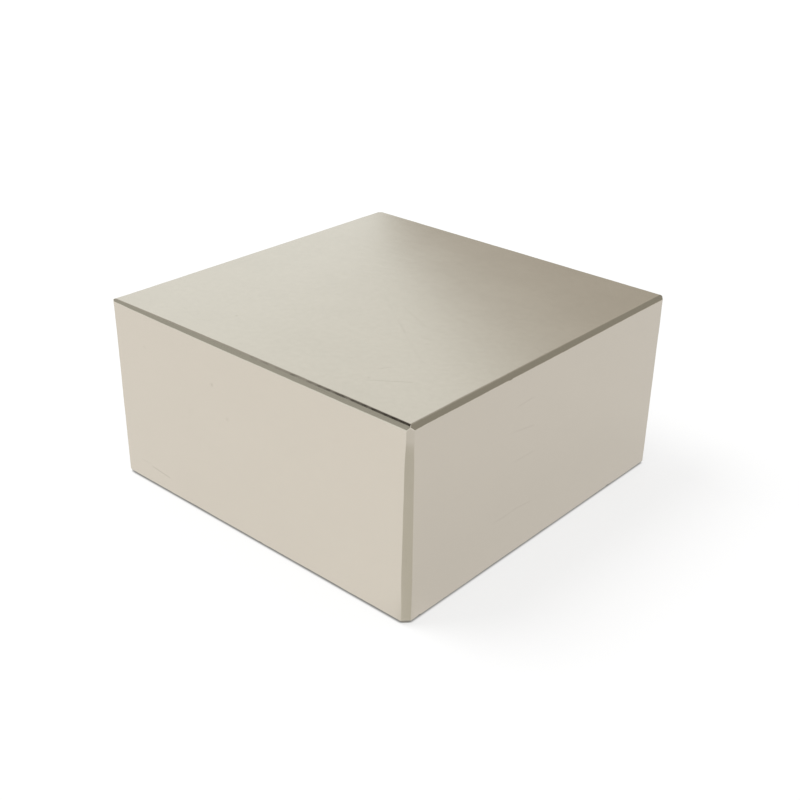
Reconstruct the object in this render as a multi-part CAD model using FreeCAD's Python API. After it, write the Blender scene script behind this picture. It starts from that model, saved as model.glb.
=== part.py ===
"""Square block magnet, ground from one piece and plated bright nickel.

The frame is in millimetres with +Z up. Its origin is the middle of the lower
pole face, so the block stands on z = 0. Z is also the direction the block is
magnetised in: the two large faces are its poles, the four upright faces are
its sides.

The block is one solid. Its twelve edges are ground off at 45 degrees: a wider
chamfer down each upright corner and a narrower one round the rim of each pole
face. Where three chamfers run together each of the eight corners is taken down
to a small facet of its own, and tumbling before plating leaves a fine round
between every two surfaces.
"""
import FreeCAD
import Part

import os

from FreeCAD import Vector

# Driving dimensions, each a size that can be changed by itself
LENGTH = 50.0
WIDTH = 50.0
THICKNESS = 25.0
UPRIGHT_CHAMFER = 0.75
RIM_CHAMFER = 0.5
CORNER_OVERRUN = 0.15
TUMBLED_RADIUS = 0.12

# The fine round is never larger than this share of the shortest edge it runs along
ROUND_LIMIT = 0.7

NODE = "magnet_block"


def chamfered_outline(across, up, leg):
    """Corner points of a rectangle about the origin with its corners cut at 45 degrees."""
    half_across = across / 2
    half_up = up / 2
    return [
        (half_across - leg, -half_up),
        (half_across, -half_up + leg),
        (half_across, half_up - leg),
        (half_across - leg, half_up),
        (-half_across + leg, half_up),
        (-half_across, half_up - leg),
        (-half_across, -half_up + leg),
        (-half_across + leg, -half_up),
    ]


def prism(points, depth):
    """Solid of a closed outline, reaching half its depth to each side of the outline's plane."""
    normal = (points[1] - points[0]).cross(points[2] - points[1]).normalize()
    start = normal * (-depth / 2)
    wire = Part.makePolygon([point + start for point in points + points[:1]])
    return Part.Face(wire).extrude(normal * depth)


def chamfered_block():
    """The block about its own centre: the space that its three chamfered sections share."""
    plan = [Vector(x, y, 0) for x, y in chamfered_outline(LENGTH, WIDTH, UPRIGHT_CHAMFER)]
    front = [Vector(x, 0, z) for x, z in chamfered_outline(LENGTH, THICKNESS, RIM_CHAMFER)]
    side = [Vector(0, y, z) for y, z in chamfered_outline(WIDTH, THICKNESS, RIM_CHAMFER)]
    return prism(plan, THICKNESS).common(prism(front, WIDTH)).common(prism(side, LENGTH))


def corner_off_cut(x_side, y_side, z_side):
    """The tip that is ground off one corner, as a solid whose base is the corner facet.

    Along each edge of the full block the facet's leg is that of both chamfers
    together, and a little more, so it bites just past the ends of all three.
    """
    leg = UPRIGHT_CHAMFER + RIM_CHAMFER + CORNER_OVERRUN
    corner = Vector(x_side * LENGTH / 2, y_side * WIDTH / 2, z_side * THICKNESS / 2)
    along_x = corner - Vector(x_side * leg, 0, 0)
    along_y = corner - Vector(0, y_side * leg, 0)
    along_z = corner - Vector(0, 0, z_side * leg)
    facet = Part.Face(Part.makePolygon([along_x, along_y, along_z, along_x]))
    outward = Vector(x_side, y_side, z_side) * leg
    return facet.extrude(outward)


def faceted_block():
    """The chamfered block with a facet on each of its eight corners."""
    block = chamfered_block()
    for x_side in (-1, 1):
        for y_side in (-1, 1):
            for z_side in (-1, 1):
                block = block.cut(corner_off_cut(x_side, y_side, z_side))
    return block


def tumbled(block):
    """The block with every edge rounded off, as finely as its shortest edge allows."""
    shortest = min(edge.Length for edge in block.Edges)
    radius = min(TUMBLED_RADIUS, ROUND_LIMIT * shortest)
    return block.makeFillet(radius, block.Edges)


def magnet_block():
    """The finished block, standing on its lower pole face."""
    block = tumbled(faceted_block())
    block.translate(Vector(0, 0, THICKNESS / 2))
    return block


def main():
    """Builds the block, says what it measures and writes its STEP file."""
    os.makedirs("parts", exist_ok=True)
    block = magnet_block()
    solid = block.Solids[0]
    box = solid.optimalBoundingBox()
    solid.exportStep(os.path.join("parts", NODE + ".step"))
    print(NODE, "faces", len(solid.Faces), "valid", solid.isValid())
    print("box", round(box.XLength, 3), round(box.YLength, 3), round(box.ZLength, 3))
    print("volume cm3", round(solid.Volume / 1000, 4))


main()
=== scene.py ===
"""Dresses the block magnet and stands it in a plain white studio.

The magnet is one ground block, plated bright nickel. Its piece is built here as
a finer mesh than the CAD solid: chamfers, corner facets and tumbled rounds from
a few named sizes, then uneven grinding and small nicks by Geometry Nodes.
Sizes are in millimetres until a mesh is finished, and directions are given as
a heading in degrees, counter-clockwise from +X, and an elevation.
"""

import logging
import math
from dataclasses import dataclass, fields
from enum import Enum
from functools import partial, reduce
from itertools import product
from typing import NamedTuple

import bmesh
import bpy
from bmesh.types import BMEdge, BMesh
from bpy.types import ID, Material, Mesh, Node, NodeTree, Object, World
from bpy.types import NodeSocket as Socket
from mathutils import Matrix, Vector


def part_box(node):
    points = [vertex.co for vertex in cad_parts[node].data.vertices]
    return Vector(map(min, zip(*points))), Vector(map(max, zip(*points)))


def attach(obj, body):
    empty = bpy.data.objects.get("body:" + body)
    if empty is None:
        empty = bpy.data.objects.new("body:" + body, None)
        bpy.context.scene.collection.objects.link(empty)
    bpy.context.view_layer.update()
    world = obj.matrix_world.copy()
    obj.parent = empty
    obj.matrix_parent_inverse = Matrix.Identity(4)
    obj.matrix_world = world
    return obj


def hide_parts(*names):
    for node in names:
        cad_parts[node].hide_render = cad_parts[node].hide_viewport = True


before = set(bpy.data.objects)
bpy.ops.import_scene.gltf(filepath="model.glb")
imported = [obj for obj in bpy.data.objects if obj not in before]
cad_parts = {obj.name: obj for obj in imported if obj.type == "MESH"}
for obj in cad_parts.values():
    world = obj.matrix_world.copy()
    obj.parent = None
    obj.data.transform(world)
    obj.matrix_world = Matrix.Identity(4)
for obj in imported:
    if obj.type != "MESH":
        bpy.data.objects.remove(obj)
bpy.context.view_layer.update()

NODE = "magnet_block"
BODY = "root"
MM = 0.001
WHITE = (1.0, 1.0, 1.0, 1.0)

# The direction of the photograph's viewpoint and the camera's roll, in degrees
VIEW_HEADING = -48.874
VIEW_ELEVATION = 26.989
VIEW_ROLL = 1.089

# The length of a round mark, and the step between two seeds of the wear, in millimetres
SPECK_LENGTH = 0.05
SEED_STEP = (13.7, 5.1, 9.3)

# The middle of a noise or random value, and what spreads noise to about 1 each way
MIDDLE = 0.5
NOISE_SPREAD = 4.0

# The inputs of a Mix node between its factor and its colours, and its colour output
BEFORE_COLOURS = (None,) * 5
COLOUR_OUTPUT = 2

log = logging.getLogger("block_magnet")

Sockets = bpy.types.bpy_prop_collection
Feed = Socket | float | int | tuple | Material | None
Colour = tuple[float, float, float, float]
Span = tuple[float, float]
Corner = tuple[int, int, int]
Depths = tuple[float, float, float]


def direction(heading: float, elevation: float) -> Vector:
    """Unit vector of a direction.

    Args:
        heading: Degrees counter-clockwise from +X.
        elevation: Degrees above the horizon.

    Returns:
        The vector.
    """
    turn = math.radians(heading)
    rise = math.radians(elevation)
    level = math.cos(rise)
    return Vector((level * math.cos(turn), level * math.sin(turn), math.sin(rise)))


def axes_round(along: Vector, heading: float, roll: float) -> tuple[Vector, Vector]:
    """Two unit vectors square to a direction and to each other.

    Args:
        along: The direction.
        heading: Its heading.
        roll: How far the two are turned about it, in degrees.

    Returns:
        The one to the left of the direction and the one upwards.
    """
    level = direction(heading + 90.0, 0.0)
    rise = along.cross(level)
    turn = math.radians(roll)
    left = level * math.cos(turn) + rise * math.sin(turn)
    up = rise * math.cos(turn) - level * math.sin(turn)
    return left, up


class Graph:
    """Adds nodes to one node tree and links what feeds them."""

    def __init__(self, tree: NodeTree) -> None:
        """Empties a shader or geometry node tree and starts on it."""
        tree.nodes.clear()
        self.tree = tree

    def feed(self, socket: Socket, value: Feed) -> None:
        """Links a socket to another one, or sets its constant.

        Args:
            socket: The input to fill.
            value: An output socket, a constant, or None to leave it alone.
        """
        if isinstance(value, Socket):
            self.tree.links.new(value, socket)
        elif value is not None:
            socket.default_value = value

    def node(self, kind: str, *values: Feed, **settings: object) -> Node:
        """Adds a node.

        Args:
            kind: Its type name.
            values: What feeds its inputs, in order.
            settings: Its own properties, set before the inputs.

        Returns:
            The node.
        """
        node = self.tree.nodes.new(kind)
        for name, setting in settings.items():
            setattr(node, name, setting)
        for socket, value in zip(node.inputs, values):
            self.feed(socket, value)
        return node

    def math(self, operation: str, *values: Feed, clamp: bool = False) -> Socket:
        """The number that one Math node gives, kept between 0 and 1 if it is clamped."""
        node = self.node("ShaderNodeMath", *values, operation=operation, use_clamp=clamp)
        return node.outputs[0]

    def total(self, *values: Feed) -> Socket:
        """The sum of several numbers."""
        return reduce(partial(self.math, "ADD"), values)

    def times(self, *values: Feed) -> Socket:
        """The product of several numbers."""
        return reduce(partial(self.math, "MULTIPLY"), values)

    def vector(self, operation: str, *values: Feed) -> Socket:
        """The vector that one Vector Math node gives."""
        return self.node("ShaderNodeVectorMath", *values, operation=operation).outputs[0]

    def measure(self, operation: str, *values: Feed) -> Socket:
        """The number that one Vector Math node gives, such as a dot product."""
        return self.node("ShaderNodeVectorMath", *values, operation=operation).outputs[1]

    def scaled(self, vector: Socket, factor: Feed) -> Socket:
        """A vector times a number."""
        return self.vector("SCALE", vector, None, None, factor)

    def split(self, vector: Socket) -> tuple[Socket, Socket, Socket]:
        """The three parts of a vector."""
        parts = self.node("ShaderNodeSeparateXYZ", vector).outputs
        return parts[0], parts[1], parts[2]

    def join(self, x: Feed, y: Feed, z: Feed) -> Socket:
        """A vector of three numbers."""
        return self.node("ShaderNodeCombineXYZ", x, y, z).outputs[0]

    def ramp(self, value: Socket, low: Feed, high: Feed, start: float = 0.0, end: float = 1.0) -> Socket:
        """A smooth step from start to end, as a value goes from low to high."""
        step = (value, low, high, start, end)
        return self.node("ShaderNodeMapRange", *step, interpolation_type="SMOOTHSTEP").outputs[0]

    def blend(self, factor: Feed, first: Feed, second: Feed) -> Socket:
        """Mixes two numbers: a factor of 0 gives the first and 1 the second."""
        return self.node("ShaderNodeMix", factor, None, first, second).outputs[0]

    def tint(self, factor: Feed, first: Feed, second: Feed, how: str = "MIX") -> Socket:
        """Mixes two colours: a factor of 0 gives the first and 1 the second."""
        values = (factor, *BEFORE_COLOURS, first, second)
        node = self.node("ShaderNodeMix", *values, data_type="RGBA", blend_type=how)
        return node.outputs[COLOUR_OUTPUT]

    def noise(self, vector: Socket, detail: float) -> Socket:
        """Smooth noise, mostly between -1 and 1, with waves about one unit long."""
        raw = self.node("ShaderNodeTexNoise", vector, None, 1.0, detail).outputs[0]
        return self.times(self.math("SUBTRACT", raw, MIDDLE), NOISE_SPREAD)

    def cells(self, vector: Socket) -> Sockets:
        """The distance, place and random colour of the nearest of cells one unit apart."""
        return self.node("ShaderNodeTexVoronoi", vector, None, 1.0).outputs

    def turned(self, vector: Socket, angle: Feed) -> Socket:
        """A vector turned about Z by an angle in radians."""
        values = (vector, None, None, angle)
        return self.node("ShaderNodeVectorRotate", *values, rotation_type="Z_AXIS").outputs[0]

    def object_place(self) -> Socket:
        """The place on the object, in millimetres."""
        return self.scaled(self.node("ShaderNodeTexCoord").outputs["Object"], 1.0 / MM)


def tree_of(owner: Material | World) -> NodeTree:
    """The node tree of a material or world."""
    owner.use_nodes = True
    return owner.node_tree


class Kind(Enum):
    """Types of the sockets on a node group."""

    NUMBER = "NodeSocketFloat"
    VECTOR = "NodeSocketVector"
    MESH = "NodeSocketGeometry"
    MATERIAL = "NodeSocketMaterial"

    def named(self, *labels: str) -> dict[str, "Kind"]:
        """Sockets of this kind, by their labels."""
        return dict.fromkeys(labels, self)


def add_sockets(tree: NodeTree, way: str, sockets: dict[str, Kind]) -> None:
    """Adds the sockets of one way, INPUT or OUTPUT, to a node group."""
    for label, kind in sockets.items():
        tree.interface.new_socket(label, in_out=way, socket_type=kind.value)


class Effect(Graph):
    """A shader node group with named inputs and outputs, built once."""

    def __init__(self, name: str, inputs: dict[str, Kind], outputs: dict[str, Kind]) -> None:
        """Makes the empty group.

        Args:
            name: The group's name.
            inputs: Its inputs, in order.
            outputs: Its outputs, in order.
        """
        super().__init__(bpy.data.node_groups.new(name, "ShaderNodeTree"))
        add_sockets(self.tree, "INPUT", inputs)
        add_sockets(self.tree, "OUTPUT", outputs)
        self.inputs = self.node("NodeGroupInput").outputs
        self.outputs = self.node("NodeGroupOutput").inputs

    def give(self, label: str, value: Socket) -> None:
        """Links a value to one of the group's outputs."""
        self.feed(self.outputs[label], value)

    def place(self, graph: Graph, *values: Feed) -> Sockets:
        """Puts the group into a tree, feeds its inputs in order and gives its outputs."""
        return graph.node("ShaderNodeGroup", *values, node_tree=self.tree).outputs


@dataclass(frozen=True)
class Mark:
    """One scratch left on a face. Its two ends and its width are in millimetres."""

    start: Span
    end: Span
    width: float
    strength: float


def speck(across: float, along: float, width: float, strength: float) -> Mark:
    """A round mark at one place on a face."""
    return Mark((across, along), (across + SPECK_LENGTH, along), width, strength)


class BlockFace(Enum):
    """Faces that carry marks of their own."""

    FRONT = "front"
    UPPER_POLE = "upper pole"
    RIGHT = "right"

    def point(self, place: Span, size: Vector) -> Vector:
        """A point on the face.

        Args:
            place: Its two coordinates, from the block's axis and its foot.
            size: The block's size in millimetres.

        Returns:
            The point, from the middle of the lower pole face.
        """
        across, along = place
        points = {
            BlockFace.FRONT: (across, -size.y / 2, along),
            BlockFace.UPPER_POLE: (across, along, size.z),
            BlockFace.RIGHT: (size.x / 2, across, along),
        }
        return Vector(points[self])


HANDLING_MARKS = {
    BlockFace.FRONT: (
        speck(-18.8, 20.2, 0.75, 0.13),
        speck(-10.7, 14.1, 0.75, 0.09),
        speck(-6.1, 19.3, 0.85, 0.20),
        speck(-3.6, 15.6, 0.80, 0.16),
        Mark((-19.2, 2.9), (-15.8, 2.6), 0.24, 0.42),
        Mark((-21.4, 3.1), (-19.8, 3.2), 0.22, 0.14),
    ),
    BlockFace.UPPER_POLE: (
        Mark((14.3, -19.9), (18.2, -17.0), 0.30, 0.20),
        Mark((13.4, -16.8), (13.9, -15.7), 0.34, 0.14),
        Mark((-0.6, -0.7), (15.8, -12.5), 0.55, 0.025),
        Mark((6.8, -6.0), (8.8, -7.5), 0.44, 0.09),
        speck(-9.4, -17.9, 0.55, 0.30),
        speck(14.0, -19.4, 0.50, 0.20),
    ),
    BlockFace.RIGHT: (
        Mark((-6.4, 20.5), (-3.3, 20.6), 0.34, 0.12),
        Mark((-7.0, 17.4), (-3.0, 16.8), 0.36, 0.10),
        Mark((-6.3, 13.3), (-2.7, 13.2), 0.36, 0.09),
        Mark((-9.5, 6.5), (-6.8, 6.4), 0.32, 0.13),
        Mark((-6.1, 6.6), (-2.5, 6.2), 0.34, 0.12),
    ),
}


class NickelEffects:
    """The shader groups that the plating is built from.

    A face's key keeps its patterns apart from those of the other faces. A
    chamfer begins at a depth behind the nearest face, in millimetres. The core
    of a hairline or pit is the share of its reach where it is at full strength.
    """

    face_keys = (17.0, 5.0, 41.0)
    chamfer_depth = (0.01, 0.05)
    line_detail = 3.0
    cloud_detail = 4.0
    core = 0.4
    smallest_pit = 0.4

    def __init__(self, size: Vector) -> None:
        """Builds every group.

        Args:
            size: The block's size in millimetres.
        """
        self.size = size
        self.faces = self.face_coordinates()
        self.lapping = self.patches("Lapping lines", self.line_detail)
        self.cloud = self.patches("Plating cloudiness", self.cloud_detail)
        self.hairline = self.hairlines()
        self.pinhole = self.pinholes()
        self.mark = self.single_mark()

    def face_coordinates(self) -> Effect:
        """Builds flat coordinates on each face, and masks of the chamfers and pole faces.

        Returns:
            The group.
        """
        outputs = Kind.VECTOR.named("Place") | Kind.NUMBER.named("Chamfer", "Pole")
        group = Effect("Face coordinates", Kind.VECTOR.named("Point"), outputs)
        middle = (0.0, 0.0, self.size.z / 2)
        centred = group.vector("SUBTRACT", group.inputs["Point"], middle)
        depth = group.vector("SUBTRACT", tuple(self.size / 2), group.vector("ABSOLUTE", centred))
        dx, dy, dz = group.split(depth)
        nearest = group.math("MINIMUM", dx, group.math("MINIMUM", dy, dz))
        on_x = group.math("LESS_THAN", dx, group.math("MINIMUM", dy, dz))
        on_z = group.math("LESS_THAN", dz, group.math("MINIMUM", dx, dy))
        x, y, z = group.split(centred)
        key_x, key_y, key_z = self.face_keys
        side = group.total(
            group.times(on_x, group.math("SIGN", x), key_x),
            group.times(on_z, group.math("SIGN", z), key_z),
            group.times(group.math("SIGN", y), key_y),
        )
        group.give("Place", group.join(group.blend(on_x, x, y), group.blend(on_z, z, y), side))
        group.give("Chamfer", group.ramp(nearest, *self.chamfer_depth))
        group.give("Pole", on_z)
        return group

    def patches(self, name: str, detail: float) -> Effect:
        """Builds soft light and dark patches over each face, drawn out by a stretch.

        Args:
            name: The group's name.
            detail: How many finer layers they have.

        Returns:
            The group.
        """
        group = Effect(name, Kind.VECTOR.named("Place", "Stretch"), Kind.NUMBER.named("Patches"))
        place = group.vector("DIVIDE", group.inputs["Place"], group.inputs["Stretch"])
        group.give("Patches", group.noise(place, detail))
        return group

    def hairlines(self) -> Effect:
        """Builds short straight scratches from handling, one to a stretched cell.

        Returns:
            The group.
        """
        inputs = Kind.VECTOR.named("Place")
        inputs |= Kind.NUMBER.named("Heading", "Length", "Spacing", "Width", "Share")
        group = Effect("Hairline scratches", inputs, Kind.NUMBER.named("Scratch"))
        socket = group.inputs
        cell_size = group.join(socket["Length"], socket["Spacing"], 1.0)
        turned = group.turned(socket["Place"], socket["Heading"])
        placed = group.vector("DIVIDE", turned, cell_size)
        cells = group.cells(placed)
        offset = group.vector("SUBTRACT", placed, cells["Position"])
        true_offset = group.vector("MULTIPLY", offset, cell_size)
        skew, reach, chance = group.split(cells["Color"])
        tilted = group.turned(true_offset, group.math("SUBTRACT", skew, MIDDLE))
        along, across, _ = group.split(tilted)
        half = group.times(socket["Length"], reach, 0.5)
        core = group.times(half, self.core)
        ends = group.ramp(group.math("ABSOLUTE", along), core, half, 1.0, 0.0)
        body = group.ramp(group.math("ABSOLUTE", across), 0.0, socket["Width"], 1.0, 0.0)
        chosen = group.math("LESS_THAN", chance, socket["Share"])
        group.give("Scratch", group.times(ends, body, chosen))
        return group

    def pinholes(self) -> Effect:
        """Builds tiny round pits where the plating bridges the grain of the alloy.

        Returns:
            The group.
        """
        inputs = Kind.VECTOR.named("Place") | Kind.NUMBER.named("Spacing", "Radius", "Share")
        group = Effect("Plating pinholes", inputs, Kind.NUMBER.named("Pinhole"))
        socket = group.inputs
        cells = group.cells(group.vector("DIVIDE", socket["Place"], socket["Spacing"]))
        distance = group.times(cells["Distance"], socket["Spacing"])
        size, chance, _ = group.split(cells["Color"])
        radius = group.times(socket["Radius"], group.blend(size, self.smallest_pit, 1.0))
        spot = group.ramp(distance, group.times(radius, self.core), radius, 1.0, 0.0)
        chosen = group.math("LESS_THAN", chance, socket["Share"])
        group.give("Pinhole", group.times(spot, chosen))
        return group

    def single_mark(self) -> Effect:
        """Builds one chosen scratch, by how near a point lies to the line between its ends.

        Returns:
            The group.
        """
        inputs = Kind.VECTOR.named("Point", "Start", "Run")
        inputs |= Kind.NUMBER.named("Run Squared", "Half Width")
        group = Effect("Single mark", inputs, Kind.NUMBER.named("Mark"))
        socket = group.inputs
        offset = group.vector("SUBTRACT", socket["Point"], socket["Start"])
        along = group.measure("DOT_PRODUCT", offset, socket["Run"])
        share = group.math("DIVIDE", along, socket["Run Squared"], clamp=True)
        foot = group.scaled(socket["Run"], share)
        distance = group.measure("LENGTH", group.vector("SUBTRACT", offset, foot))
        group.give("Mark", group.ramp(distance, 0.0, socket["Half Width"], 1.0, 0.0))
        return group

    def marks(self, graph: Graph, point: Socket) -> Socket:
        """All the handling marks as one mask.

        Args:
            graph: The material's graph.
            point: The place on the block, in millimetres.

        Returns:
            The mask.
        """
        result: Feed = 0.0
        for face, marks in HANDLING_MARKS.items():
            for mark in marks:
                start = face.point(mark.start, self.size)
                run = face.point(mark.end, self.size) - start
                line = (tuple(start), tuple(run), run.length_squared, mark.width / 2)
                near = self.mark.place(graph, point, *line)["Mark"]
                result = graph.math("MAXIMUM", result, graph.times(near, mark.strength))
        return result


class Hairlines(NamedTuple):
    """A set of faint scratches. Its heading is in radians and its sizes in millimetres."""

    heading: float
    length: float
    spacing: float
    width: float
    share: float


class Pits(NamedTuple):
    """A set of round pits, in millimetres, and the share of its cells that hold one."""

    spacing: float
    radius: float
    share: float


@dataclass(frozen=True)
class BrightNickel:
    """Bright nickel over lapped faces and ground chamfers. Lengths are in millimetres."""

    colour: Colour = (0.66, 0.61, 0.53, 1.0)
    # Painted shade: the darker colour that the scratches, specks and pinholes take, for shade in these
    # small dents
    ingrained: Colour = (0.23, 0.21, 0.18, 1.0)
    metallic: float = 1.0
    face_roughness: float = 0.13
    chamfer_roughness: float = 0.16
    line_length: float = 22.0
    line_spacing: float = 0.16
    line_depth: float = 0.00012
    line_shade: float = 0.004
    line_roughness: float = 0.010
    ripple_size: float = 2.6
    ripple_depth: float = 0.0009
    cloud_size: float = 7.0
    fine_cloud_size: float = 0.8
    side_mottle: float = 0.006
    pole_mottle: float = 0.018
    cloud_roughness: float = 0.012
    long_hairs: Hairlines = Hairlines(0.35, 11.0, 3.4, 0.045, 0.30)
    short_hairs: Hairlines = Hairlines(1.95, 4.5, 1.9, 0.035, 0.22)
    short_strength: float = 0.7
    hair_strength: float = 0.4
    pinholes: Pits = Pits(3.1, 0.11, 0.35)
    # How far the pinholes are darkened by painted shade
    pinhole_dirt: float = 0.3
    pinhole_roughness: float = 0.15
    grit: Pits = Pits(0.42, 0.09, 0.5)
    grit_shade: float = -0.10
    # How far the scratches and specks are darkened by painted shade
    mark_dirt: float = 0.55
    scar_roughness: float = 0.20
    scar_depth: float = 0.0035

    def material(self, effects: NickelEffects) -> Material:
        """Builds the material.

        Args:
            effects: The shader groups.

        Returns:
            The material.
        """
        material = bpy.data.materials.new("bright_nickel")
        graph = Graph(tree_of(material))
        point = graph.object_place()
        faces = effects.faces.place(graph, point)
        place = faces["Place"]
        chamfer = faces["Chamfer"]

        line_stretch = (self.line_length, self.line_spacing, 1.0)
        lines = effects.lapping.place(graph, place, line_stretch)["Patches"]
        ripple, cloud, fine = (
            effects.cloud.place(graph, place, (size, size, size))["Patches"]
            for size in (self.ripple_size, self.cloud_size, self.fine_cloud_size)
        )
        pits = effects.pinhole.place(graph, place, *self.pinholes)["Pinhole"]
        grit = effects.pinhole.place(graph, point, *self.grit)["Pinhole"]
        longer, shorter = (
            effects.hairline.place(graph, place, *hairs)["Scratch"]
            for hairs in (self.long_hairs, self.short_hairs)
        )
        scratches = graph.math("MAXIMUM", longer, graph.times(shorter, self.short_strength))
        hairs = graph.times(scratches, graph.math("SUBTRACT", 1.0, chamfer))
        marks = effects.marks(graph, point)
        scars = graph.math("MAXIMUM", marks, graph.times(hairs, self.hair_strength))

        mottle = graph.blend(faces["Pole"], self.side_mottle, self.pole_mottle)
        shade = graph.total(
            1.0,
            graph.times(cloud, mottle),
            graph.times(fine, mottle),
            graph.times(grit, chamfer, self.grit_shade),
            graph.times(lines, self.line_shade),
        )
        plated = graph.tint(1.0, self.colour, graph.join(shade, shade, shade), "MULTIPLY")
        # Painted shade in the scratches, specks and pinholes, which are small dents
        mark_dirt = graph.times(marks, self.mark_dirt)
        groove_shade = graph.math("MAXIMUM", mark_dirt, graph.times(pits, self.pinhole_dirt))
        roughness = graph.total(
            graph.blend(chamfer, self.face_roughness, self.chamfer_roughness),
            graph.times(cloud, self.cloud_roughness),
            graph.times(lines, self.line_roughness),
            graph.times(scars, self.scar_roughness),
            graph.times(pits, self.pinhole_roughness),
        )
        height = graph.total(
            graph.times(lines, self.line_depth),
            graph.times(ripple, self.ripple_depth),
            graph.times(scars, -self.scar_depth),
            graph.times(pits, -self.scar_depth),
        )
        bump = graph.node("ShaderNodeBump", None, MM, None, height).outputs[0]
        # The plating, darker where shade is painted in the marks and pinholes
        colour = graph.tint(groove_shade, plated, self.ingrained)
        surface = (colour, self.metallic, roughness, None, None, bump)
        nickel = graph.node("ShaderNodeBsdfPrincipled", *surface)
        graph.node("ShaderNodeOutputMaterial", nickel.outputs[0])
        return material


class Grinding(Graph):
    """The nodes that make the chamfers uneven, in one geometry node tree.

    A chamfer is made wider or narrower by moving its points away from or
    towards the sharp edge that it was ground from. A point on a flat face only
    slides along the face, so the faces stay flat and the block keeps its size.
    """

    def __init__(self, tree: NodeTree) -> None:
        """Reads the tree's inputs, and how deep each point lies behind each pair of faces.

        Args:
            tree: The geometry node tree.
        """
        super().__init__(tree)
        self.socket = self.node("NodeGroupInput").outputs
        position = self.node("GeometryNodeInputPosition").outputs[0]
        half = self.scaled(self.socket["Size"], 0.5)
        middle = self.vector("MULTIPLY", half, (0.0, 0.0, 1.0))
        centred = self.vector("SUBTRACT", position, middle)
        depth = self.vector("SUBTRACT", half, self.vector("ABSOLUTE", centred))
        self.centred = self.split(centred)
        self.front = self.math("LESS_THAN", self.centred[1], 0.0)
        self.depths = self.split(depth)
        self.weights = self.nearness(self.socket["Reach"])
        step = self.scaled(self.join(*SEED_STEP), self.socket["Seed"])
        self.seeded = self.vector("ADD", position, step)

    def nearness(self, reach: Socket) -> list[Socket]:
        """How near a point is to each pair of faces: 1 within half the reach and 0 past it."""
        half = self.times(reach, 0.5)
        return [self.ramp(depth, half, reach, 1.0, 0.0) for depth in self.depths]

    def spread(self, length: Socket) -> Socket:
        """The seeded place, in units of a length."""
        return self.scaled(self.seeded, self.math("DIVIDE", 1.0, length))

    def unevenness(self, label: str) -> Socket:
        """The share that smooth widening adds, by the inputs for its amount and length."""
        place = self.spread(self.socket[f"{label} Length"])
        return self.times(self.noise(place, 1.0), self.socket[label])

    def nicks(self) -> Socket:
        """Small knocks on the edges.

        Returns:
            The share that they add.
        """
        spacing = self.socket["Nick Spacing"]
        distance = self.times(self.cells(self.spread(spacing))["Distance"], spacing)
        knock = self.ramp(distance, 0.0, self.socket["Nick Radius"], 1.0, 0.0)
        return self.times(knock, self.socket["Nick"])

    def swelling(self) -> Socket:
        """The near upright chamfer, which was ground wider away from its two ends.

        Returns:
            The share that it adds.
        """
        right = self.math("GREATER_THAN", self.centred[0], 0.0)
        away = self.ramp(self.depths[2], self.socket["Swell Start"], self.socket["Swell End"])
        along_x, along_y, _ = self.nearness(self.socket["Swell Reach"])
        return self.times(self.socket["Swell"], right, self.front, away, along_x, along_y)

    def leaning_rim(self) -> Socket:
        """The front upper rim, which was ground wider, but narrower towards its left end.

        Returns:
            The share that it adds or takes off.
        """
        x, _, z = self.centred
        length = self.split(self.socket["Size"])[0]
        leftward = self.math("SUBTRACT", 0.5, self.math("DIVIDE", x, length), clamp=True)
        late = self.math("POWER", leftward, self.socket["Lean Growth"])
        share = self.total(self.socket["Front Gain"], self.times(self.socket["Lean"], late))
        upper = self.math("GREATER_THAN", z, 0.0)
        return self.times(share, self.front, upper, self.weights[1], self.weights[2])

    def offset(self) -> Socket:
        """How far each point moves.

        Returns:
            The vector.
        """
        everywhere = self.total(self.unevenness("Waver"), self.unevenness("Chatter"), self.nicks())
        upright = self.swelling()
        rim = self.leaning_rim()
        own_shares = (upright, self.total(upright, rim), rim)
        moves = []
        for depth, weight, own, place in zip(self.depths, self.weights, own_shares, self.centred):
            share = self.total(everywhere, own)
            moves.append(self.times(depth, weight, share, self.math("SIGN", place), -1.0))
        return self.join(*moves)


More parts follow.
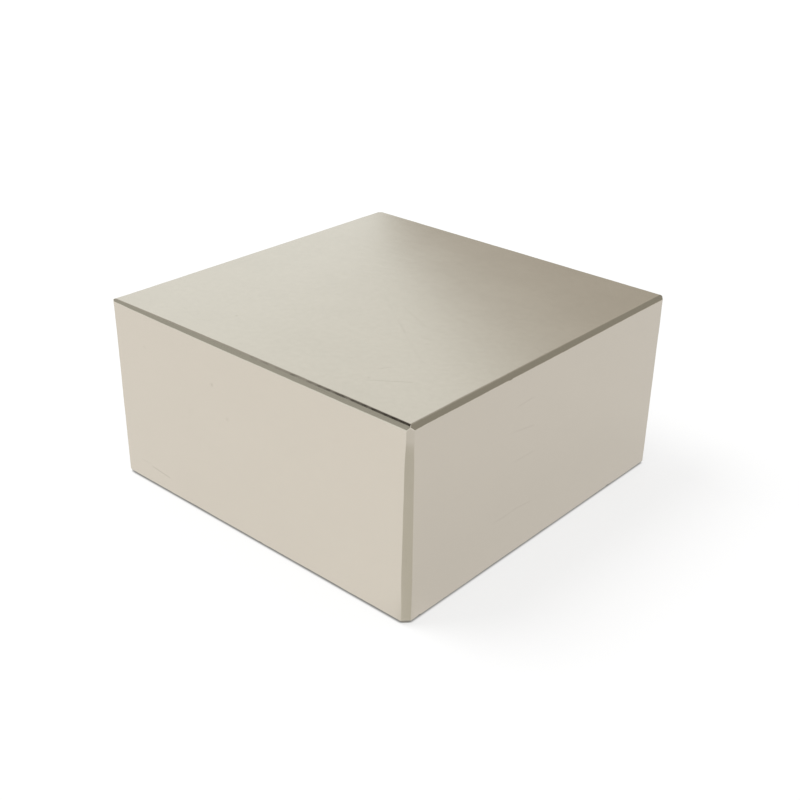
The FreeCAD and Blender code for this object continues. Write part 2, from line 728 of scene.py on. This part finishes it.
@dataclass(frozen=True)
class EdgeWear:
    """How uneven the chamfers are. Each field is an input of the grinding's tree.

    Lengths are in millimetres. Amounts are shares of a chamfer's width.
    """

    waver: float = 0.045
    waver_length: float = 4.0
    chatter: float = 0.02
    chatter_length: float = 0.8
    nick: float = 0.22
    nick_spacing: float = 3.0
    nick_radius: float = 0.5
    swell: float = 0.22
    swell_start: float = 1.0
    swell_end: float = 6.0
    swell_reach: float = 1.6
    front_gain: float = 0.12
    lean: float = -0.50
    lean_growth: float = 3.0
    reach: float = 3.0
    seed: float = 4.0

    def inputs(self) -> dict[str, float]:
        """Each field's value, by the label of its input."""
        names = [item.name for item in fields(self)]
        return {name.replace("_", " ").title(): getattr(self, name) for name in names}

    def tree(self) -> NodeTree:
        """Builds the tree.

        Returns:
            The geometry node tree, with the block's size and material as inputs too.
        """
        tree = bpy.data.node_groups.new("Uneven grinding", "GeometryNodeTree")
        mesh = Kind.MESH.named("Mesh")
        block = mesh | Kind.VECTOR.named("Size") | Kind.MATERIAL.named("Material")
        add_sockets(tree, "INPUT", block | Kind.NUMBER.named(*self.inputs()))
        add_sockets(tree, "OUTPUT", mesh)

        graph = Grinding(tree)
        worn = graph.node("GeometryNodeSetPosition", graph.socket["Mesh"], None, None, graph.offset())
        real = graph.node("GeometryNodeRealizeInstances", worn.outputs[0])
        plated = graph.node("GeometryNodeSetMaterial", real.outputs[0], None, graph.socket["Material"])
        graph.node("NodeGroupOutput", plated.outputs[0])
        return tree

    def apply(self, piece: Object, size: Vector, material: Material) -> None:
        """Puts the tree on a piece and sets its inputs.

        Args:
            piece: The piece, in millimetres.
            size: The block's size.
            material: The finish that the tree gives it.
        """
        modifier = piece.modifiers.new("Uneven grinding", "NODES")
        modifier.node_group = self.tree()
        values = {"Size": tuple(size), "Material": material, **self.inputs()}
        for item in modifier.node_group.interface.items_tree:
            if item.in_out == "INPUT" and item.name in values:
                modifier[item.identifier] = values[item.name]


def link_object(name: str, data: ID) -> Object:
    """Adds an object to the scene.

    Args:
        name: The object's name.
        data: Its mesh, lamp or camera.

    Returns:
        The object, at the origin.
    """
    piece = bpy.data.objects.new(name, data)
    bpy.context.scene.collection.objects.link(piece)
    return piece


def mesh_object(name: str, shape: BMesh) -> Object:
    """Adds a mesh that is being worked on to the scene.

    Args:
        name: The name of the object and its mesh.
        shape: The working mesh. It is freed.

    Returns:
        The object, at the origin.
    """
    mesh = bpy.data.meshes.new(name)
    shape.to_mesh(mesh)
    shape.free()
    return link_object(name, mesh)


def baked(piece: Object) -> Mesh:
    """Applies an object's modifiers and removes the object.

    Args:
        piece: The object.

    Returns:
        The plain mesh that its modifiers make.
    """
    graph = bpy.context.evaluated_depsgraph_get()
    evaluated = piece.evaluated_get(graph)
    mesh = bpy.data.meshes.new_from_object(evaluated, preserve_all_data_layers=True, depsgraph=graph)
    bpy.data.objects.remove(piece)
    return mesh


@dataclass
class MagnetBlock:
    """The block: flat lapped faces, ground chamfers, corner facets and tumbled rounds.

    All sizes are in millimetres. The block's own size comes from the CAD node.
    """

    size: Vector
    upright_chamfer: float = 0.75
    rim_chamfer: float = 0.5
    corner_overrun: float = 0.15
    blunt_overrun: float = 0.35
    blunt_corners: tuple[Corner, ...] = ((-1, 1, 1),)
    mitred_upright: float = 0.62
    mitred_corners: tuple[Corner, ...] = ((1, -1, 1), (-1, -1, 1), (1, 1, 1), (1, 1, -1))
    tumbled_radius: float = 0.12
    pole_rim_radius: float = 0.46
    side_rim_radius: float = 0.34
    round_segments: int = 4
    strip_step: float = 0.25
    long_edge: float = 2.0
    flat_angle: float = 0.5
    face_cosine: float = 0.99
    rim_cosine: float = 0.65
    shading_weight: int = 50
    name: str = "plated_block"

    def corner_depths(self, sides: Corner) -> tuple[Depths, ...]:
        """The points of one corner, by how deep they lie behind its three faces.

        At a mitred corner the chamfers meet. At any other one a facet cuts them
        off, and bites past their ends by its overrun.

        Args:
            sides: The signs of the corner along x, y and z.

        Returns:
            The three depths of each point.
        """
        rim = self.rim_chamfer
        if sides in self.mitred_corners:
            upright = self.mitred_upright
            peak = upright / 2
            return (rim, rim, 0.0), (peak, peak, rim - peak), (upright, 0.0, rim), (0.0, upright, rim)
        upright = self.upright_chamfer
        overrun = self.blunt_overrun if sides in self.blunt_corners else self.corner_overrun
        leg = upright + rim + overrun
        return (
            (upright, 0.0, leg - upright),
            (0.0, upright, leg - upright),
            (0.0, leg - rim, rim),
            (rim, leg - rim, 0.0),
            (leg - rim, rim, 0.0),
            (leg - rim, 0.0, rim),
        )

    def sharp_block(self) -> BMesh:
        """The chamfered block with its cut and mitred corners before tumbling, centred.

        Returns:
            A mesh of flat faces.
        """
        mesh = bmesh.new()
        half = self.size / 2
        for sides in product((-1, 1), repeat=3):
            for depths in self.corner_depths(sides):
                point = [side * (reach - depth) for side, reach, depth in zip(sides, half, depths)]
                mesh.verts.new(point)
        bmesh.ops.convex_hull(mesh, input=mesh.verts[:])
        angle = math.radians(self.flat_angle)
        bmesh.ops.dissolve_limit(mesh, angle_limit=angle, verts=mesh.verts[:], edges=mesh.edges[:])
        bmesh.ops.recalc_face_normals(mesh, faces=mesh.faces[:])
        return mesh

    def round_offset(self, edge: BMEdge) -> float:
        """How far the round of an edge reaches into the faces beside it.

        Args:
            edge: An edge of the sharp block.

        Returns:
            The distance.
        """
        normals = [face.normal for face in edge.link_faces]
        cut, flat = sorted(normals, key=lambda normal: max(map(abs, normal)))
        radius = self.tumbled_radius
        if max(map(abs, flat)) > self.face_cosine and abs(cut.z) > self.rim_cosine:
            on_pole = abs(flat.z) > self.face_cosine
            radius = self.pole_rim_radius if on_pole else self.side_rim_radius
        return radius * math.tan(cut.angle(flat) / 2)

    def tumbled(self, sharp: BMesh) -> Mesh:
        """Rounds every edge of the sharp block.

        Args:
            sharp: The block of flat faces. It is freed.

        Returns:
            The rounded mesh.
        """
        offsets = [self.round_offset(edge) for edge in sharp.edges]
        widest = max(offsets)
        weights = sharp.edges.layers.float.new("bevel_weight_edge")
        for edge, offset in zip(sharp.edges, offsets):
            edge[weights] = offset / widest
        piece = mesh_object("sharp_block", sharp)
        bevel = piece.modifiers.new("Tumbled rounds", "BEVEL")
        bevel.limit_method = "WEIGHT"
        bevel.offset_type = "OFFSET"
        bevel.width = widest
        bevel.segments = self.round_segments
        bevel.use_clamp_overlap = False
        return baked(piece)

    def cut_along(self, mesh: BMesh) -> None:
        """Cuts the long strips of the chamfers and rounds into short steps.

        The six flat faces are taken off first and put back afterwards, so each
        of them stays one flat face.

        Args:
            mesh: The rounded block. It is changed.
        """
        flats = [face for face in mesh.faces if face.calc_area() > self.size.z * self.size.z / 2]
        bmesh.ops.delete(mesh, geom=flats, context="FACES_ONLY")
        for axis in range(3):
            long_edges = [
                edge
                for edge in mesh.edges
                if abs(edge.verts[0].co[axis] - edge.verts[1].co[axis]) > self.long_edge
            ]
            cuts = round(self.size[axis] / self.strip_step) - 1
            bmesh.ops.subdivide_edges(mesh, edges=long_edges, cuts=cuts)
        rims = [edge for edge in mesh.edges if edge.is_boundary]
        bmesh.ops.holes_fill(mesh, edges=rims, sides=0)
        bmesh.ops.recalc_face_normals(mesh, faces=mesh.faces[:])

    def build(self, material: Material, wear: EdgeWear) -> Object:
        """Builds the finished piece.

        Args:
            material: Its finish.
            wear: How uneven its chamfers are.

        Returns:
            The piece, in metres, standing on the floor.
        """
        rounded = bmesh.new()
        rounded.from_mesh(self.tumbled(self.sharp_block()))
        self.cut_along(rounded)
        bmesh.ops.translate(rounded, vec=Vector((0.0, 0.0, self.size.z / 2)), verts=rounded.verts[:])
        for face in rounded.faces:
            face.smooth = True

        blank = mesh_object("rounded_block", rounded)
        wear.apply(blank, self.size, material)
        shading = blank.modifiers.new("Flat faces stay flat", "WEIGHTED_NORMAL")
        shading.mode = "FACE_AREA"
        shading.weight = self.shading_weight
        finished = baked(blank)
        finished.transform(Matrix.Scale(MM, 4))
        finished.name = self.name
        return link_object(self.name, finished)


@dataclass(frozen=True)
class Card:
    """A round reflector or flag far away, with a soft rim."""

    name: str
    heading: float
    elevation: float
    half_angle: float
    softness: float
    colour: Colour


@dataclass(frozen=True)
class Wall:
    """The pale wall round the studio, and what is over it. Its top fades out upwards."""

    light: Colour = (0.972, 0.996, 0.981, 1.0)
    above: Colour = (0.50, 0.49, 0.46, 1.0)
    top: Span = (29.6, 36.0)


@dataclass(frozen=True)
class Beam:
    """A dark beam that runs along Y overhead, as ranges of a direction's x and z."""

    outer: Span = (-0.67, -0.60)
    inner: Span = (-0.36, -0.28)
    foot: Span = (0.69, 0.75)
    colour: Colour = (0.028, 0.025, 0.020, 1.0)


@dataclass(frozen=True)
class Fan:
    """A large dark flag that fans out from one point, seen in the upper pole face.

    Its axis is the camera's line of sight, mirrored in that face. Places are on
    a plane one unit away, square to the axis. Its angle is 0 straight up from
    the apex and grows to the right.
    """

    heading: float = VIEW_HEADING + 180.0
    apex: Span = (-0.020, -0.1575)
    haze: float = 0.18
    haze_growth: float = -3.0
    haze_turn: Span = (-75.0, 0.0)
    depth: float = 0.66
    turn: Span = (12.0, 80.0)
    end: Span = (125.0, 175.0)
    near_strength: float = 1.15
    growth: float = 0.4
    growth_turn: Span = (12.0, 50.0)
    front: Span = (0.0, 0.2)
    least_ahead: float = 0.05
    colour: Colour = (0.516, 0.486, 0.43, 1.0)


class StudioWorld(Graph):
    """The world: white to the camera, the studio to the plating, plain to the floor."""

    ambient = (0.62, 0.62, 0.62, 1.0)
    cards = (
        Card("overhead softbox", 0.0, 90.0, 30.0, 8.0, (0.90, 0.89, 0.87, 1.0)),
        Card("front fill", -40.0, 42.0, 22.0, 10.0, (0.90, 0.89, 0.86, 1.0)),
        Card("left flag", -150.0, 33.0, 15.0, 8.0, (0.465, 0.47, 0.435, 1.0)),
        Card("right flag", 56.0, 36.0, 26.0, 10.0, (0.345, 0.335, 0.295, 1.0)),
    )
    wall = Wall()
    beam = Beam()
    fan = Fan()

    def __init__(self) -> None:
        """Starts the world, and reads the direction of each ray."""
        self.world = bpy.data.worlds.new("studio")
        super().__init__(tree_of(self.world))
        self.towards = self.node("ShaderNodeTexCoord").outputs["Generated"]

    def along(self, axis: Vector) -> Socket:
        """How far a direction points along an axis."""
        return self.measure("DOT_PRODUCT", self.towards, tuple(axis))

    def fan_mask(self) -> Socket:
        """How much of the fan-shaped flag lies in a direction.

        Returns:
            The mask.
        """
        fan = self.fan
        axis = direction(fan.heading, VIEW_ELEVATION)
        left, up = axes_round(axis, fan.heading, VIEW_ROLL)
        ahead = self.along(axis)
        distance = self.math("MAXIMUM", ahead, fan.least_ahead)
        across = self.math("DIVIDE", self.along(-left), distance)
        height = self.math("DIVIDE", self.along(up), distance)
        from_apex = self.math("SUBTRACT", across, fan.apex[0])
        over_apex = self.math("SUBTRACT", height, fan.apex[1])
        angle = self.math("DEGREES", self.math("ARCTAN2", from_apex, over_apex))
        reach = self.measure("LENGTH", self.join(from_apex, over_apex, 0.0))
        grown = self.total(fan.near_strength, self.times(reach, fan.growth))
        hazed = self.total(1.0, self.times(reach, fan.haze_growth))
        strength = self.blend(self.ramp(angle, *fan.growth_turn), hazed, grown)
        edge = self.total(
            self.ramp(angle, *fan.haze_turn, 0.0, fan.haze),
            self.ramp(angle, *fan.turn, 0.0, fan.depth),
        )
        last = self.ramp(angle, *fan.end, 1.0, 0.0)
        shape = self.math("MULTIPLY", edge, strength, clamp=True)
        return self.times(shape, last, self.ramp(ahead, *fan.front))

    def beam_mask(self) -> Socket:
        """How much of the dark beam lies in a direction.

        Returns:
            The mask.
        """
        x, _, z = self.split(self.towards)
        outer = self.ramp(x, *self.beam.outer)
        inner = self.ramp(x, *self.beam.inner, 1.0, 0.0)
        return self.times(outer, inner, self.ramp(z, *self.beam.foot))

    def mirrored_tone(self) -> Socket:
        """The colour that the plating mirrors in a direction.

        Returns:
            The colour socket.
        """
        heights = [math.sin(math.radians(elevation)) for elevation in self.wall.top]
        fade = self.ramp(self.split(self.towards)[2], *heights)
        colour = self.tint(fade, self.wall.light, self.wall.above)
        colour = self.tint(self.fan_mask(), colour, self.fan.colour)
        for card in self.cards:
            cosine = self.along(direction(card.heading, card.elevation))
            outer = math.cos(math.radians(card.half_angle + card.softness))
            inner = math.cos(math.radians(card.half_angle))
            colour = self.tint(self.ramp(cosine, outer, inner), colour, card.colour)
            log.info("card: %s", card.name)
        return self.tint(self.beam_mask(), colour, self.beam.colour)

    def build(self) -> World:
        """Finishes the world.

        Returns:
            The world.
        """
        path = self.node("ShaderNodeLightPath").outputs
        mirrored = self.math("MAXIMUM", path["Is Glossy Ray"], path["Is Transmission Ray"])
        seen = self.tint(mirrored, self.ambient, self.mirrored_tone())
        seen = self.tint(path["Is Camera Ray"], seen, WHITE)
        background = self.node("ShaderNodeBackground", seen, 1.0)
        self.node("ShaderNodeOutputWorld", background.outputs[0])
        return self.world


@dataclass(frozen=True)
class FloorPatch:
    """The floor that counts as lying under the block, where shadow is painted.

    Its edge is inset from the block's outline, and fades over softness to each
    side. Setback cuts its near corner off, along x and y together, and
    left_setback its left corner.
    """

    inset: float
    softness: float
    setback: float
    left_setback: float


class Floor(Graph):
    """The floor. Its sizes are in millimetres.

    The camera sees it white, with the block's shadow: shadow from the lamp,
    and painted shadow along the block's foot. In the plating's reflection it
    is lit in front and has painted shadow at the side, a lobe of painted
    shadow straight ahead of the near corner, and painted shadow under the block.
    """

    half = 1600.0
    drop = 0.02
    tone = 0.34
    glow = 0.70
    far = (120.0, 400.0)
    # The floor as the plating mirrors it: lit in front, and a painted shadow of the block on the half
    # away from the lamp
    front_card = (0.975, 0.965, 0.950, 1.0)
    side_card = (0.800, 0.790, 0.780, 1.0)
    card_turn = (-10.0, 10.0)
    card_glow = 0.90
    # Painted shadow of the camera: a darker lobe on the floor straight ahead of the near corner, fading
    # further out
    corner_card = (0.605, 0.598, 0.537, 1.0)
    far_corner_card = (0.526, 0.520, 0.467, 1.0)
    corner_fade = (75.0, 115.0)
    lobe_middle = 2.5
    lobe_width = 7.0
    lobe_start = (-2.0, 1.0)
    # Painted shadow under the block, as the plating mirrors the floor, inside mirrored_patch
    under_tone = (0.30, 0.30, 0.28, 1.0)
    mirrored_patch = FloorPatch(0.0, 0.1, 1.1, 0.0)
    # Where the painted contact shadow lies along the block's foot, and how dark it is
    contact_patch = FloorPatch(0.25, 0.20, 1.35, 0.8)
    contact_shade = 0.80

    def __init__(self, size: Vector) -> None:
        """Starts the floor's material.

        Args:
            size: The block's size in millimetres.
        """
        self.size = size
        self.material = bpy.data.materials.new("studio_floor")
        super().__init__(tree_of(self.material))
        self.point = self.object_place()
        self.x, self.y, _ = self.split(self.point)
        self.diagonal = self.math("ADD", self.x, self.y)
        self.outward = self.math("SUBTRACT", self.x, self.y)

    def under_block(self, patch: FloorPatch) -> Socket:
        """Where the floor lies under the block.

        Args:
            patch: Where the mask ends.

        Returns:
            The mask.
        """
        corner = (self.size.x + self.size.y) / 2
        limits = (
            (self.math("ABSOLUTE", self.x), self.size.x / 2 - patch.inset),
            (self.math("ABSOLUTE", self.y), self.size.y / 2 - patch.inset),
            (self.outward, corner - patch.setback),
            (self.times(self.diagonal, -1.0), corner - patch.left_setback),
        )
        sides = [
            self.ramp(place, limit - patch.softness, limit + patch.softness, 1.0, 0.0)
            for place, limit in limits
        ]
        return self.times(*sides)

    def mirrored_tone(self) -> Socket:
        """The floor's colour in the plating's reflection, with its painted shade and painted shadows.

        Returns:
            The colour socket.
        """
        # Painted shadow of the block on the half of the floor away from the lamp, against the lit floor
        # in front (held in cards)
        turn = self.ramp(self.diagonal, *self.card_turn)
        cards = self.tint(turn, self.front_card, self.side_card)
        # A lobe of painted shadow, the camera's, straight ahead of the near corner (its colour held in
        # corner)
        sideways = self.math("SUBTRACT", self.diagonal, self.lobe_middle)
        squared = self.math("POWER", self.math("DIVIDE", sideways, self.lobe_width), 2.0)
        camera_shadow = self.math("EXPONENT", self.times(squared, -1.0))
        ahead = self.ramp(self.outward, *(self.size.x + start for start in self.lobe_start))
        fade = self.ramp(self.outward, *self.corner_fade)
        corner = self.tint(fade, self.corner_card, self.far_corner_card)
        cards = self.tint(self.times(camera_shadow, ahead), cards, corner)
        # Painted shadow under the block
        return self.tint(self.under_block(self.mirrored_patch), cards, self.under_tone)

    def dress(self) -> None:
        """Gives the floor its light, its matt surface and the painted shade under the block's foot."""
        camera = self.node("ShaderNodeLightPath").outputs["Is Camera Ray"]
        glow = self.ramp(self.measure("LENGTH", self.point), *self.far, self.glow, 1.0)
        # Painted contact shadow along the block's foot, darkening the floor's glow
        contact_shadow = self.times(self.under_block(self.contact_patch), self.contact_shade)
        seen_glow = self.times(glow, self.math("SUBTRACT", 1.0, contact_shadow))
        light = self.node(
            "ShaderNodeEmission",
            self.tint(camera, self.mirrored_tone(), WHITE),
            self.blend(camera, self.card_glow, seen_glow),
        )
        grey = self.blend(camera, 1.0 - self.card_glow, self.tone)
        matt = self.node("ShaderNodeBsdfDiffuse", self.join(grey, grey, grey))
        both = self.node("ShaderNodeAddShader", matt.outputs[0], light.outputs[0])
        self.node("ShaderNodeOutputMaterial", both.outputs[0])

    def build(self) -> Object:
        """Lays the floor.

        Returns:
            The floor's object.
        """
        self.dress()
        ends = (-self.half * MM, self.half * MM)
        corners = [(x, y, -self.drop * MM) for x, y in product(ends, ends)]
        mesh = bpy.data.meshes.new("floor")
        mesh.from_pydata(corners, [], [(0, 2, 3, 1)])
        mesh.materials.append(self.material)
        return link_object("floor", mesh)


class Studio:
    """The world round the block, its floor and its lamp."""

    lamp_heading = -150.0
    lamp_elevation = 60.0
    lamp_distance = 0.80
    lamp_size = 0.45
    lamp_power = 2.9

    def floor(self, size: Vector) -> Object:
        """Lays the floor under a block of a size in millimetres."""
        return Floor(size).build()

    def lamp(self) -> Object:
        """Hangs the key lamp, a softbox up to the left that the plating doesn't mirror.

        Returns:
            The lamp's object.
        """
        data = bpy.data.lights.new("key_softbox", "AREA")
        data.shape = "DISK"
        data.size = self.lamp_size
        data.energy = self.lamp_power
        lamp = link_object("key_softbox", data)
        away = direction(self.lamp_heading, self.lamp_elevation)
        lamp.location = away * self.lamp_distance
        lamp.rotation_euler = away.to_track_quat("Z", "Y").to_euler()
        lamp.visible_glossy = False
        return lamp

    def build(self, size: Vector) -> None:
        """Sets up the world, the floor and the lamp.

        Args:
            size: The block's size in millimetres.
        """
        scene = bpy.context.scene
        scene.world = StudioWorld().build()
        scene.view_settings.view_transform = "Standard"
        self.floor(size)
        lamp = self.lamp()
        log.info("lamp: %s", lamp.name)


@dataclass(frozen=True)
class PhotoCamera:
    """The photograph's camera. Its lengths are in millimetres."""

    distance: float = 151.778
    target: tuple[float, float, float] = (3.905, -2.564, 12.5)
    focal_pixels: float = 1180.544
    frame_pixels: float = 800.0
    sensor: float = 36.0
    nearest: float = 5.0

    def build(self) -> Object:
        """Adds the camera and makes it the scene's own.

        Returns:
            The camera's object.
        """
        back = direction(VIEW_HEADING, VIEW_ELEVATION)
        right, up = axes_round(back, VIEW_HEADING, VIEW_ROLL)
        data = bpy.data.cameras.new("photo_camera")
        data.sensor_width = self.sensor
        data.lens = self.focal_pixels / self.frame_pixels * self.sensor
        data.clip_start = self.nearest * MM
        camera = link_object("photo_camera", data)
        place = (Vector(self.target) + back * self.distance) * MM
        turn = Matrix((right, up, back)).transposed()
        camera.matrix_world = Matrix.LocRotScale(place, turn, None)
        bpy.context.scene.camera = camera
        return camera


def main() -> None:
    """Builds the block, the studio and the camera."""
    logging.basicConfig(level=logging.INFO, format="%(message)s")
    low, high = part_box(NODE)
    size = (high - low) / MM

    effects = NickelEffects(size)
    nickel = BrightNickel().material(effects)
    block = MagnetBlock(size).build(nickel, EdgeWear())
    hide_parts(NODE)
    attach(block, BODY)
    log.info("%s: %d faces, %d points", block.name, len(block.data.polygons), len(block.data.vertices))

    Studio().build(size)
    camera = PhotoCamera().build()
    log.info("%s: lens %.2f mm", camera.name, camera.data.lens)


if __name__ == "__main__":
    main()
